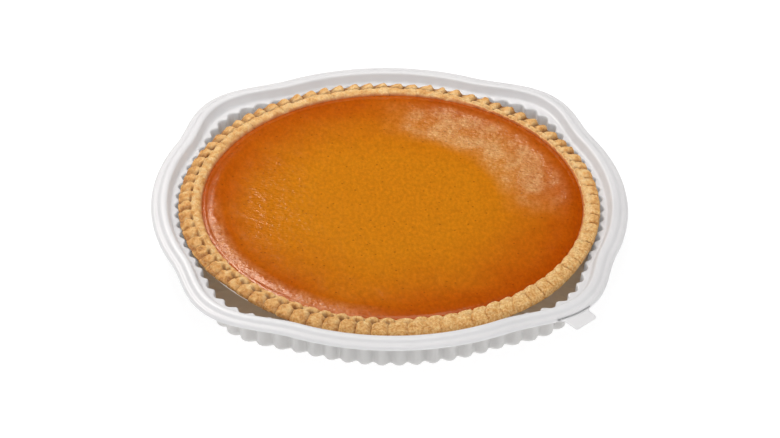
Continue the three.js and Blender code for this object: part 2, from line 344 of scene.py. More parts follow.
# %% The tab's outline
TAB_ANGLE = math.radians(311.0)
TAB_REACH = 10.2
TAB_OVERLAP = 1.2
TAB_HALF_WIDTH = 10.2
TAB_ROOT_FILLET = 3.5
TAB_CORNER = 2.0
TAB_DROOP = 1.2
TAB_ROOT_LIFT = 0.5
TAB_ABOVE_SKIRT = 0.05
TAB_ROWS, TAB_COLUMNS = 26, 21


def tab_half_width(out):
    """Half the tongue's width: a quarter circle wider at its root, and one narrower at its tip."""
    root = TAB_ROOT_FILLET * (1 - np.sqrt(np.clip(1 - (1 - np.clip(out / TAB_ROOT_FILLET, 0, 1)) ** 2, 0, 1)))
    past = np.clip((out - TAB_REACH + TAB_CORNER) / TAB_CORNER, 0, 1)
    tip = TAB_CORNER * (1 - np.sqrt(1 - past**2))
    return TAB_HALF_WIDTH + root - tip


print("tab's half width at its root, middle and tip:",
      [round(float(tab_half_width(np.array(v))), 1) for v in (0.0, 5.0, TAB_REACH)])

# %% The tab's shell
def tab_skin():
    """The tongue's upper skin: it starts along the skirt's curve, and ends straight across."""
    out = np.linspace(-TAB_OVERLAP, TAB_REACH, TAB_ROWS)[:, None]
    side = np.linspace(-1.0, 1.0, TAB_COLUMNS)[None, :] * tab_half_width(out)
    skirt = RIM_RADIUS + RIM_LOBE * lobe(TAB_ANGLE + side / RIM_RADIUS, RIM_LOBE_HALF) + SKIRT_REACH
    base = np.sqrt(np.maximum(skirt**2 - side**2, 0))
    middle = base[:, TAB_COLUMNS // 2][:, None]
    blend = smooth(0.0, 0.6 * TAB_REACH, out)
    along = (1 - blend) * (base + out) + blend * (middle + out)
    root_lift = TAB_ROOT_LIFT * (1 - smooth(-1.0, 2.5, out))
    height = SKIRT_FOOT + TAB_ABOVE_SKIRT + SHEET + root_lift - TAB_DROOP * out / TAB_REACH
    x = along * math.cos(TAB_ANGLE) - side * math.sin(TAB_ANGLE)
    y = along * math.sin(TAB_ANGLE) + side * math.cos(TAB_ANGLE)
    return np.stack([x, y, np.broadcast_to(height, along.shape)], axis=-1)


def tab_shell():
    """A closed plate: the upper skin, the same skin one sheet lower, and a wall along their border."""
    upper = tab_skin()
    lower = upper - np.array([0, 0, SHEET])
    count = TAB_ROWS * TAB_COLUMNS
    here = np.arange(count).reshape(TAB_ROWS, TAB_COLUMNS)
    face = np.stack([here[:-1, :-1], here[1:, :-1], here[1:, 1:], here[:-1, 1:]], axis=-1).reshape(-1, 4)
    border = np.concatenate([here[:, 0], here[-1, 1:], here[-2::-1, -1], here[0, -2:0:-1]])
    following = np.roll(border, -1)
    wall = np.stack([border, border + count, following + count, following], axis=-1)
    quads = np.concatenate([face, face[:, ::-1] + count, wall])
    return np.concatenate([upper.reshape(-1, 3), lower.reshape(-1, 3)]), quads, np.empty((0, 3), int)


points, quads, triangles = join_shells([tray_shell(), tab_shell()])
# The mark for the outer skin, which the finish paints a greyer white as shade.
outside = np.zeros(len(points))
outside[:len(outer_skin())] = outer_skin()
tray = fill_mesh("white_tray", points, quads, triangles, outside=outside)
report(tray)

# %% [markdown]
# ## The foil pan
# The pie stands in a pan pressed out of thin aluminium foil. Pressing a flat disc into a bowl leaves too much
# metal round the side, which gathers into shallow pleats, and the flange ends in a rolled hem. Most of the
# pan is hidden: its side shows at the tray's corners, and its hem just clears the crust there. The pleats
# could come from a Wave modifier, but they have to fade out at the hem and the bottom, so they are a cosine
# in the radius that is strongest half way up the side.

# %% The pan's shell
PIE = (-0.4, -1.5)
FOIL = 0.5
FLANGE_TOP = 28.9
FLANGE_RADIUS = 151.9
PAN_MOUTH = 144.2
PAN_BOTTOM = 121.0
PAN_BASE = 1.1
PLEATS = 96
PLEAT_SAMPLES = 8
PLEAT_DEPTH = 0.35


def pan_profile():
    """The pan's inner skin from the bottom to the hem, then its outer skin back to the bottom."""
    corners = [
        (PAN_BOTTOM - 4, PAN_BASE + FOIL, 0),
        (PAN_BOTTOM, PAN_BASE + FOIL, 2.0),
        (PAN_MOUTH, FLANGE_TOP, 1.2),
        (FLANGE_RADIUS - 0.5, FLANGE_TOP, 0.3),  # the hem
        (FLANGE_RADIUS, FLANGE_TOP - 0.4, 0.2),
        (FLANGE_RADIUS - 0.5, FLANGE_TOP - 0.8, 0.3),
        (FLANGE_RADIUS - 1.2, FLANGE_TOP - FOIL, 0.3),
        (PAN_MOUTH + 0.7, FLANGE_TOP - FOIL, 1.2),  # from here on, the outer skin
        (PAN_MOUTH - 7.0, FLANGE_TOP - 9.6, 1.0),
        (PAN_BOTTOM + 7.0, PAN_BASE + 7.5, 1.0),
        (PAN_BOTTOM + 0.7, PAN_BASE, 2.0),
        (PAN_BOTTOM - 4, PAN_BASE, 0),
    ]
    return soften([corner[:2] for corner in corners], [corner[2] for corner in corners])


def pan_shell():
    """A closed stack; a pleat moves both skins of the side in and out together."""
    angle = circle(PLEATS * PLEAT_SAMPLES)
    rows = []
    for radius, height in pan_profile():
        share = math.sin(math.pi * float(np.clip((height - PAN_BASE) / (FLANGE_TOP - PAN_BASE), 0, 1)))
        pleat = PLEAT_DEPTH * share * np.cos(PLEATS * angle)
        rows.append(ring(angle, radius + pleat, height, PIE))
    points = stack_points(np.array(rows), (*PIE, PAN_BASE + FOIL), (*PIE, PAN_BASE))
    return points, *stack_faces(len(rows), len(angle))


foil_pan = fill_mesh("foil_pie_pan", *pan_shell())
report(foil_pan)

# %% [markdown]
# ## The crimped crust
# The pastry's rim has been pinched eighty-two times, and each pinch left a pad that overlaps the next like a
# roof tile. Going clockwise round the pie a pad climbs out of a crease, stands highest near its far end, and
# drops steeply into the next crease. Inside the pads a rounded lip meets the filling.
# A pad could be modelled once and copied round with an array, but then all would be alike. Here the pad is a
# height over two numbers: `t`, how far clockwise a point lies between two creases, and `out`, how far it lies
# between the lip and the rim. The columns of the grid follow the creases, so that a crease stays crisp
# however it leans, and every pinch draws its own width, height and reach.

# %% Every pinch is its own
CRIMPS = 82
PITCH = 2.0 * np.pi / CRIMPS
CRUST_RADIUS = 153.0
PADS_MIDDLE = 148.5
CREST = 34.62
GROOVE_HEIGHT = 30.7
RIM_UNDERSIDE = 29.2
DISC = (2.0, -1.5)
DISC_RADIUS = 138.0
DISC_EDGE = 29.7

pinch_draw = np.random.default_rng(82)


def each_pinch(low, high):
    """One random number for every pinch."""
    return pinch_draw.uniform(low, high, CRIMPS)


# Columns between two creases, closest together where a pad climbs out of its crease and drops into the next.
t_steps = np.array([0.0, 0.025, 0.06, 0.11, 0.17, 0.24, 0.32, 0.40, 0.48, 0.56,
                    0.64, 0.71, 0.78, 0.84, 0.89, 0.93, 0.96, 0.985])
pinch = np.repeat(np.arange(CRIMPS), len(t_steps))
t = np.tile(t_steps[::-1], CRIMPS)
crease_at = np.arange(CRIMPS + 1) + np.append(each_pinch(-0.10, 0.10), 0.0)
crease_at[-1] = CRIMPS + crease_at[0]
pad_height = each_pinch(-0.9, 0.0)[pinch]  # mm, of the outer pad's top against the crest
pad_inner = each_pinch(-0.5, 0.3)[pinch]  # mm, the same for the inner pad
pad_reach = each_pinch(-0.5, 0.3)[pinch]  # mm outwards
pad_slot = each_pinch(0.7, 1.0)[pinch]  # depth of its slot, as a part of the deepest
pad_lean = each_pinch(-0.07, 0.07)[pinch]  # lean of its crease, as a part of the pitch
pad_foot = each_pinch(-0.4, 0.4)[pinch]  # twice the mm that its foot lies outwards
pad_peak = each_pinch(0.76, 0.90)[pinch]  # where it stands highest, in t
print("pitch of the pinches in mm:", round(PITCH * PADS_MIDDLE, 2), "columns:", len(t))

# %% [markdown]
# ## No side of the rim is like another
# The baker's hand changed on its way round. At the left and the front left the thumb also pressed a slot that
# parts a broad outer pad from a low inner one, so the rim looks plaited. At the back the outer pads are small
# teeth. At the back left the inner pads have run into one smooth lip with a groove behind it, and at the
# front right the pads are flatter and sandier. The oven browned the front left most, and custard soaked into
# the lip at the right.
# Each of these is a share from 0 to 1 that depends on the direction. Weight paint could hold it, but `near`
# says it in three numbers: the direction, how far round it holds in full, and where it has faded out.

# %% Where the rim changes
LEAN = 0.04
FRONT_LEAN = 0.28
OVERLAP = 0.10


def near(angle, centre, inner, outer):
    """1 within `inner` degrees of a direction round the pie, 0 beyond `outer` degrees, and smooth between."""
    away = np.abs(np.mod(np.degrees(angle) - centre + 180.0, 360.0) - 180.0)
    return 1.0 - smooth(inner, outer, away)


def column_angle(out):
    """Angles of the columns: creases lean, so the inner end of a column lies further anticlockwise."""
    wide = crease_at[pinch + 1] - crease_at[pinch]
    along = crease_at[pinch] + (1.0 - t) * wide
    lean = LEAN + FRONT_LEAN * near(along * PITCH, 268.0, 20.0, 55.0) + pad_lean
    lap = OVERLAP * smooth(0.45, 0.95, t) * smooth(0.1, 0.4, out)
    return (along + lean * (1.0 - smooth(0.2, 0.75, out)) - lap) * PITCH


base_angle = column_angle(0.0)
at_back = near(base_angle, 80.0, 42.0, 72.0)
at_left = near(base_angle, 176.0, 22.0, 48.0)
at_front = near(base_angle, 275.0, 35.0, 60.0)
at_foil = near(base_angle, 229.0, 6.0, 17.0)
slotted = np.maximum(near(base_angle, 195.0, 62.0, 88.0), near(base_angle, 62.0, 26.0, 46.0))
lip_share = near(base_angle, 135.0, 48.0, 88.0)
flatter = near(base_angle, 320.0, 38.0, 62.0)
toothed = near(base_angle, 90.0, 60.0, 82.0)
parted = near(base_angle, 30.0, 25.0, 48.0)
lumpy = near(base_angle, 135.0, 75.0, 100.0)
stained = near(base_angle, 15.0, 42.0, 62.0)
sandy = near(base_angle, 300.0, 35.0, 65.0)
browner = near(base_angle, 205.0, 32.0, 70.0)
toasted = near(base_angle, 165.0, 35.0, 60.0)
slot_line = 0.45 - 0.27 * lip_share
lip_edge = (DISC[0] - PIE[0]) * np.cos(base_angle) + DISC_RADIUS + 0.2
print("share of the rim that is slotted, toothed, flatter:",
      [round(float(share.mean()), 2) for share in (slotted, toothed, flatter)])

# %% The shape of a pad from crease to crease
INNER_DOME = (0.44, 2.3, 0.62)
TOOTH = (0.74, 1.35, 1.0)
REACH = (0.74, 1.7, 0.8)
TILE_CLIMB, TILE_FALL = 0.5, 2.2
SLOT_BLUR = 0.13
MELTED = 0.92
FLATTENED = 0.5


def dome(place, peak, width, steep):
    """A hump from 0 to 1 and back: one side of the peak is stretched, and two powers set its fullness."""
    side = np.where(place < peak, (peak - place) / peak, (place - peak) / (1.0 - peak))
    return np.maximum(1.0 - side**width, 0.0) ** steep


def tile(place, peak):
    """A tilted slab: (t / peak)^0.5 up from the crease to 1 at the peak, and a steep round fall back to 0."""
    climb = np.clip(place / peak, 0.0, 1.0) ** TILE_CLIMB
    fall = np.clip((place - peak) / (1.0 - peak), 0.0, 1.0)
    return climb * np.sqrt(1.0 - fall**TILE_FALL)


def humps(out):
    """The inner pad's rise, the whole pad's rise, and the outer pad's share at `out`, each from 0 to 1.

    Inside the slot's line a pad is a dome, which the smooth lip fills in. Outside it is a tile, or a tooth at
    the back. Where the rim is flatter, a pad lacks only half of what it would lack of 1."""
    outer = smooth(slot_line - SLOT_BLUR, slot_line + SLOT_BLUR, out)
    inner_hump = mix(dome(t, *INNER_DOME), 1.0, MELTED * lip_share)
    outer_hump = mix(tile(t, pad_peak), dome(t, *TOOTH), toothed)
    hump = mix(inner_hump, outer_hump, outer)
    return inner_hump, 1.0 - (1.0 - hump) * (1.0 - FLATTENED * flatter), outer


print("rise of a tile that peaks at 0.8:", tile(np.array([0.1, 0.4, 0.8, 0.95]), 0.8).round(2).tolist())

# %% How far a pad reaches
LIP_WIDTH, MELTED_LIP_WIDTH = 1.5, 4.9
FOOT_SCALLOP = 0.9
NOTCH = 1.6 + 1.0 * at_back + 1.4 * toothed + 1.2 * parted - 0.9 * flatter
RIM_INSET = 0.9
SLOT_OFFSET, SLOT_SLANT, SLOT_WIDTH = 0.05, 0.28, 0.085
SLOT_UNPRESSED = 0.15
GROOVE_WIDTH, GROOVE_DEPTH = 0.07, 0.5


def pad_span(inner_hump):
    """Radius of a pad's inner foot and outer rim: both swell with the pad, and the rim is notched between."""
    foot = lip_edge + LIP_WIDTH + MELTED_LIP_WIDTH * lip_share + 0.5 * pad_foot
    foot = foot - (FOOT_SCALLOP - 0.5 * lip_share) * (inner_hump - 0.5)
    rim = CRUST_RADIUS - RIM_INSET + pad_reach - NOTCH * (1.0 - dome(t, *REACH))
    return foot, rim


def pressed(out):
    """Depth of what the thumb pressed, from 0 to 1: bell curves over `out` for the slot and the lip's groove.

    The slot slants across the pad and fades towards its peak."""
    line = slot_line + SLOT_OFFSET - (SLOT_SLANT - 0.18 * lip_share) * t
    slot = np.exp(-(((out - line) / SLOT_WIDTH) ** 2)) * (1.0 - smooth(0.36, 0.74, t))
    slot = pad_slot * slot * (SLOT_UNPRESSED + (1.0 - SLOT_UNPRESSED) * slotted)
    groove = GROOVE_DEPTH * lip_share * (1.0 - 0.7 * at_left)
    return np.maximum(slot, groove * np.exp(-(((out - slot_line) / GROOVE_WIDTH) ** 2)))


print("notches between the pads in mm:", round(float(NOTCH.min()), 2), "to", round(float(NOTCH.max()), 2))

# %% The height of a pad
INNER_TOP = CREST - 0.35 - 1.5 * at_back + pad_inner
OUTER_TOP = CREST + pad_height - 0.3 * at_left - 0.9 * at_back
CREASE_FALL = 0.5 + 1.3 * np.maximum(slotted, toothed)
RISE_WIDTH = 0.16
MELTED_RISE = 0.75
ROLL = 0.28 - 0.10 * at_back
LEFT_ROLL = 0.32 * at_left
SLOT_DEPTH = 0.85
CREASE_UNDER = 0.80


def crimp_row(out):
    """One ring of the pinched rim: radius, height, depth of crease, by which the finish paints shade, and how
    far up its pad a point lies.

    The height is that of the crease, plus the pad's height above it times four shares: a quarter circle up
    from the lip, a roll down to the rim, the hump from crease to crease, and what the slot leaves."""
    inner_hump, hump, outer = humps(out)
    foot, rim = pad_span(inner_hump)
    dent = pressed(out)
    top = mix(INNER_TOP, OUTER_TOP, outer)
    low = GROOVE_HEIGHT - CREASE_FALL * out
    rise = np.sqrt(1.0 - (1.0 - min(out / RISE_WIDTH, 1.0)) ** 2)
    rise = mix(rise, 1.0, MELTED_RISE * lip_share)
    roll = 1.0 - ROLL * smooth(0.66, 1.0, out) - LEFT_ROLL * smooth(0.35, 1.0, out)
    height = low + (top - low) * rise * roll * hump * (1.0 - SLOT_DEPTH * dent)
    # Depth of crease, by which the finish paints shade; a slot's dent counts as crease too.
    crease = np.clip(1.0 - hump / CREASE_UNDER, 0.0, 1.0) * smooth(0.02, 0.2, out) + dent
    return mix(foot, rim, out), height, crease, hump


radius, height, crease, hump = crimp_row(0.7)
print("pad heights in mm, low and high:", round(float(height.min()), 2), round(float(height.max()), 2))

# %% [markdown]
# ## The rest of the crust
# The crust is one closed stack: the bowl under the filling, the lip, the pads, their outer edge and the
# bowl's outer side. The lip's inner edge is ragged, because the custard rose against it unevenly.
# Every ring also carries its marks. The crease mark is the depth of a crease, by which the finish paints
# shade; `bake` is how brown the oven made it, and `lip` how far custard has soaked in.
# The lip could be a piece of its own, joined with a Boolean, but one stack has no seams.

# %% The bowl and the lip
BOWL_FLOOR = 6.4
BOWL_FOOT = 1.9
LIP_STEPS = 8
LIP_RISE = 0.55 + 0.75 * lip_share
RAGGED_SIZE, RAGGED_DEPTH = 7.0, 2.4
inner_edge = ring(base_angle, DISC_RADIUS + 0.2, DISC_EDGE + 0.05, DISC)


def marked(points, crease, bake, lip=0.0):
    """A ring with its three marks, each spread to one number for every point."""
    return points, *(np.broadcast_to(mark, t.shape) for mark in (crease, bake, lip))


def bowl_rows():
    """The floor under the filling, and the wall that the filling stands against."""
    floor = ring(base_angle, PAN_BOTTOM - 5.5, BOWL_FLOOR, DISC)
    wall = ring(base_angle, DISC_RADIUS - 0.6, DISC_EDGE - 1.6, DISC)
    # The crease mark paints shade on the wall under the filling, and a little at the filling's edge.
    return [marked(floor, 0.0, 0.0), marked(wall, 0.6, 0.0, 1.0),
            marked(inner_edge, 0.1, 0.0, np.maximum(stained, 0.8))]


def lip_rows():
    """A low arch from the filling's edge to the pads' foot, drawn inwards in random places."""
    radius, height, _, _ = crimp_row(0.0)
    foot = ring(base_angle, radius, height, PIE)
    outwards = ring(base_angle, 1.0, 0.0)
    ragged = np.clip(waves(inner_edge, RAGGED_SIZE, 33), 0.0, 1.5)[:, None] * outwards
    rows = []
    for share in np.linspace(0.0, 1.0, LIP_STEPS + 2)[1:-1]:
        arch = inner_edge + (foot - inner_edge) * share
        arch -= RAGGED_DEPTH * share * (1.0 - share) ** 2 * ragged
        arch[:, 2] += LIP_RISE * math.sin(math.pi * share**0.85) ** 0.7 + 0.14 * waves(arch, 8.0, 31)
        # Painted shade where the lip runs into the pads' foot, except on the smooth lip.
        crease = 0.25 * smooth(0.72, 1.0, share) * (1.0 - lip_share)
        bake = 0.05 + 0.30 * math.sin(math.pi * share) + 0.20 * browner
        soaked = np.maximum(stained * (1.0 - share**2), 0.8 * (1.0 - share) ** 4)
        rows.append(marked(arch, crease, bake, soaked))
    return rows


print("rings of the bowl and the lip:", len(bowl_rows()) + len(lip_rows()))

# %% The pads and the outer side
PAD_STEPS = 22
EDGE_STEPS = (0.08, 0.2, 0.36, 0.54, 0.72, 0.88, 1.0)
FRONT_SWELL, FRONT_SAG = 1.7, 0.8


def pad_rows():
    """The pinched rim. High, outer and browned places have more bake, and the smooth lip has less."""
    rows = []
    for out in np.linspace(0.0, 1.0, PAD_STEPS) ** 1.15:
        radius, height, crease, hump = crimp_row(out)
        bake = 0.62 * hump * smooth(0.3, 0.7, out) + 0.40 * smooth(0.7, 1.0, out)
        bake = bake + 0.40 * browner + 0.15 * toasted
        paler = 1.0 - 0.5 * lip_share * (1.0 - smooth(0.1, 0.3, out))
        rows.append(marked(ring(column_angle(out), radius, height, PIE), crease, bake * paler))
    return rows


def side_rows():
    """The pads' outer edge: down and outwards by two powers, then in under the rim and down the bowl.

    At the front the pastry swells over the tray's ledge, and where the foil shows it draws back."""
    angle = column_angle(1.0)
    edge_radius, edge_height, crease, hump = crimp_row(1.0)
    base_radius = CRUST_RADIUS + FRONT_SWELL * at_front - 0.9 * (1.0 - hump) - 1.7 * at_foil
    base_height = RIM_UNDERSIDE + 0.12 - FRONT_SAG * at_front
    rows = []
    for share in EDGE_STEPS:
        radius = mix(edge_radius, base_radius, share**0.55) + 0.25 * math.sin(math.pi * share)
        height = mix(edge_height, base_height, share**1.15)
        bake = 0.75 + 0.3 * share + 0.25 * browner
        rows.append(marked(ring(angle, radius, height, PIE), crease, bake))
    # Painted shade under the rim and down the bowl's outer side: the crease mark is 0.5 there.
    rows.append(marked(ring(angle, base_radius - 0.6, RIM_UNDERSIDE - FRONT_SAG * at_front, PIE), 0.5, 0.5))
    rows.append(marked(ring(angle, base_radius - 1.6, RIM_UNDERSIDE, PIE), 0.5, 0.5))
    rows.append(marked(ring(base_angle, PAN_MOUTH - 0.3, RIM_UNDERSIDE, PIE), 0.5, 0.3))
    rows.append(marked(ring(base_angle, PAN_BOTTOM - 0.6, BOWL_FOOT, PIE), 0.5, 0.3))
    return rows


print("rings of the pads and the side:", len(pad_rows()) + len(side_rows()))

# %% The crust's shell
HIDDEN_ABOVE, HIDDEN_BELOW = 3, 5
BROWN_PATCH, BROWN_DEPTH = 5.5, 0.34


def crust_shell():
    """All the rings, with random lumps of three sizes added to the height of those that show."""
    rows = bowl_rows() + lip_rows() + pad_rows() + side_rows()
    rings, crease_shades, bakes, lips = (np.array(column) for column in zip(*rows))
    lumps = 0.13 * waves(rings, 3.6, 5) + 0.08 * waves(rings, 1.8, 6) + 0.26 * lumpy * waves(rings, 6.5, 7)
    shown = np.zeros(len(rows))
    shown[HIDDEN_ABOVE:-HIDDEN_BELOW] = 1.0
    rings[..., 2] += lumps * shown[:, None]
    rings[..., 2] = np.minimum(rings[..., 2], BEAD_TOP - 0.02)
    bakes = bakes + BROWN_DEPTH * browner * np.clip(waves(rings, BROWN_PATCH, 41), -1.4, 1.4)
    marks = {"crease": crease_shades, "bake": bakes, "lip": lips, "sandy": np.tile(sandy, (len(rows), 1))}
    marks = {name: np.append(values, [0.0, 0.0]) for name, values in marks.items()}
    points = stack_points(rings, (*DISC, BOWL_FLOOR), (*PIE, BOWL_FOOT))
    return points, *stack_faces(len(rows), len(t)), marks


points, quads, triangles, marks = crust_shell()
crust = fill_mesh("pastry_crust", points, quads, triangles, **marks)
report(crust)

# %% [markdown]
# ## The custard
# Pumpkin custard sets from the edge inwards. The outside puffs up and stays a little higher than the middle,
# so a low ring runs just inside the crust, and the skin between them keeps faint ripples from where it sank.
# The surface is a height over a disc: the ring is a smooth hump in the radius, the sunken middle a gentle
# slope, and the ripples are random waves that are stronger in the outer half. A displaced plane would do as
# well, but a grid of rings lets the last few millimetres curl down to the crust.

# %% The height of the custard
DISC_MIDDLE = 29.2
SWELL, SWELL_AT, SWELL_WIDTH = 1.25, 0.938, 0.050
SLOPE = 0.45
BROAD_WAVE, BROAD_HEIGHT = 55.0, 0.10
FINE_WAVE, FINE_HEIGHT, RIPPLE_HEIGHT = 14.0, 0.02, 0.045


def custard_height(points, share):
    """Height of the skin, where share is the distance from the middle as a part of the disc's radius."""
    hump = SWELL * np.exp(-(((share - SWELL_AT) / SWELL_WIDTH) ** 2)) * (1 - smooth(0.975, 1.0, share) * 0.5)
    slope = SLOPE * smooth(0.35, 0.85, share)
    ripple = smooth(0.25, 0.8, share) * (1 - smooth(0.96, 1.0, share))
    broad = BROAD_HEIGHT * waves(points, BROAD_WAVE, 11)
    fine = (FINE_HEIGHT + RIPPLE_HEIGHT * ripple) * waves(points, FINE_WAVE, 12)
    return DISC_MIDDLE + slope + hump + broad + fine


spot = np.array([[DISC_RADIUS * SWELL_AT, 0.0, 0.0]])
print("top of the ring in mm:", round(float(custard_height(spot, np.array([SWELL_AT]))[0]), 2))

# %% Where the skin wrinkled, and where a sheen is painted
SKIN_EVERYWHERE = 0.12
PATCH_SIZE = 16.0


def within(low, high, fade, value):
    """1 from low to high, falling smoothly to 0 over `fade` on each side."""
    return smooth(low - fade, low, value) * (1.0 - smooth(high, high + fade, value))


def custard_skin(angle, share, points):
    """Two marks: how wrinkled the skin is, from 0.12 to about 1.2, and how rough it is and how much pale
    sheen is painted on it, from 0 to 1.

    It is most wrinkled in a band at the back right, less on the ring at the front left, and a little left of
    the middle. The first two are also rougher and carry the painted sheen, in patches."""
    patch = 0.5 + 0.5 * np.clip(waves(points, PATCH_SIZE, 21) * 0.8, -1.0, 1.0)
    back_right = 1.25 * near(angle, 40.0, 20.0, 56.0) * within(0.72, 0.80, 0.18, share)
    left_ring = 0.40 * near(angle, 220.0, 22.0, 52.0) * within(0.93, 0.965, 0.05, share)
    left_patch = 0.20 * near(angle, 178.0, 20.0, 45.0) * within(0.52, 0.70, 0.15, share)
    zone = np.maximum(np.maximum(back_right, left_ring), left_patch)
    skin = SKIN_EVERYWHERE + (1.0 - SKIN_EVERYWHERE) * zone * (0.55 + 0.45 * patch)
    # The second mark: rougher skin, and a pale sheen painted on in patches.
    dull = np.clip(back_right + left_ring, 0.0, 1.0) * (0.35 + 0.65 * patch)
    return skin, dull


print("a band from 0.72 to 0.80, at 0.60, 0.70 and 0.76:",
      within(0.72, 0.80, 0.18, np.array([0.60, 0.70, 0.76])).round(2).tolist())

# %% The custard's shell
FILLING_COLUMNS = 288
FILLING_ROWS = 210
CURL_FROM = 0.972


def custard_shell():
    """The skin as rings that lie closer together near the edge, then the wall and the floor."""
    angle = circle(FILLING_COLUMNS)
    share = 1.0 - (1.0 - np.linspace(0.004, 1.0, FILLING_ROWS)) ** 1.25
    rings = np.array([ring(angle, DISC_RADIUS * s, 0.0, DISC) for s in share])
    spread = np.broadcast_to(share[:, None], rings.shape[:2])
    curl = smooth(CURL_FROM, 1.0, spread)
    rings[..., 2] = custard_height(rings, spread) * (1 - curl) + DISC_EDGE * curl
    middle = float(rings[0, :, 2].mean())
    sunk = ring(angle, DISC_RADIUS - 0.2, DISC_EDGE - 1.0, DISC)
    floor = ring(angle, PAN_BOTTOM - 6.1, BOWL_FLOOR + 0.3, DISC)
    rings = np.concatenate([rings, sunk[None], floor[None]])
    spread = np.concatenate([spread, np.ones((2, FILLING_COLUMNS))])
    skin, dull = custard_skin(np.broadcast_to(angle, spread.shape), spread, rings)
    marks = {"share": np.append(spread, [0.0, 1.0]), "skin": np.append(skin, [0.0, 0.0]),
             "dull": np.append(dull, [0.0, 0.0])}
    points = stack_points(rings, (*DISC, middle), (*DISC, BOWL_FLOOR + 0.3))
    return points, *stack_faces(len(rings), len(angle)), marks


points, quads, triangles, marks = custard_shell()
filling = fill_mesh("pumpkin_filling", points, quads, triangles, **marks)
report(filling)

# %% [markdown]
# ## Colours and nodes
# The finishes are built from nodes. Colours are written as the sRGB hex values that a paint chart would give,
# and one function turns them into the linear light that the shader works in. `add` puts one node in a tree,
# sets its own properties and fills its sockets, either with a value or with another node's output.
# Patterns read Object coordinates, which are metres here, so a feature of so many millimetres needs a scale
# of a thousand divided by that size.
# Each kind of node could have a helper of its own, but one that takes any kind keeps every socket's name in
# sight.

# %% Colour and node tools
def linear(colour):
    """An sRGB hex colour as linear red, green and blue with full opacity."""
    parts = np.array([int(colour[k:k + 2], 16) for k in (1, 3, 5)]) / 255.0
    light = np.where(parts <= 0.04045, parts / 12.92, ((parts + 0.055) / 1.055) ** 2.4)
    return (*light.tolist(), 1.0)


def per_metre(size):
    """The texture scale at which one feature is about `size` millimetres wide."""
    return 1.0 / (size * MM)


def add(tree, kind, settings=None, sockets=None):
    """Adds one node: settings are its properties, or the stops of its ramp, and sockets its inputs."""
    made = tree.nodes.new(kind)
    for name, value in (settings or {}).items():
        if name == "stops":
            ramp = made.color_ramp.elements
            while len(ramp) < len(value):
                ramp.new(1.0)
            for stop, (place, colour) in zip(ramp, value):
                stop.position = place
                stop.color = linear(colour)
        else:
            setattr(made, name, value)
    for name, value in (sockets or {}).items():
        if isinstance(value, bpy.types.NodeSocket):
            tree.links.new(value, made.inputs[name])
        else:
            made.inputs[name].default_value = value
    return made


print("custard ochre as linear light:", [round(v, 3) for v in linear("#c77616")])

# %% Starting and ending a finish
# A Mix node has a set of sockets for each type of data. These are the numbers of its two colours and of
# its mixed colour.
FIRST, SECOND, MIXED = 6, 7, 2


def new_finish(name):
    """An empty material with its tree and the object's own coordinates."""
    material = bpy.data.materials.new(name)
    material.use_nodes = True
    tree = material.node_tree
    tree.nodes.clear()
    place = add(tree, "ShaderNodeTexCoord").outputs["Object"]
    return material, tree, place


def close_finish(tree, shader):
    """Links the last shader to the material's output."""
    add(tree, "ShaderNodeOutputMaterial", None, {"Surface": shader.outputs["BSDF"]})


def dress(piece, material, node):
    """Gives a piece its finish and ties it to the frame: it rides the one body and stands for its solid."""
    piece.data.materials.append(material)
    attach(piece, "root")
    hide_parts(node)
    print(piece.name, "stands for", node, "in", material.name)


print("a Mix node's colour inputs and output:", FIRST, SECOND, MIXED)

# %% [markdown]
# ## White thermoformed plastic
# The tray is white polystyrene sheet, heated and drawn over a mould. The mould's fine blasted texture and the
# sheet's stretch give it a satin gloss with faint clouds in it. A clean sheet is almost a single colour, so
# most of what the eye reads is the soft highlight: roughness matters more than colour here.
# The sheet is so thin that light comes through it. Subsurface scattering stands for that, and softens the
# shades between the flutes. The wall's outer skin is painted a greyer white: painted shade for the light that
# passes through the thin wall into the dark space behind it. Below the ledge the inside of the wall is
# painted brown, more so further down: painted shade in the pockets, tinted by the light that the crust
# throws there. That colour is mixed in by height, and the outer-skin mark keeps it off the outer skin.
# The brown could be painted on, but that would need an image of the whole tray.

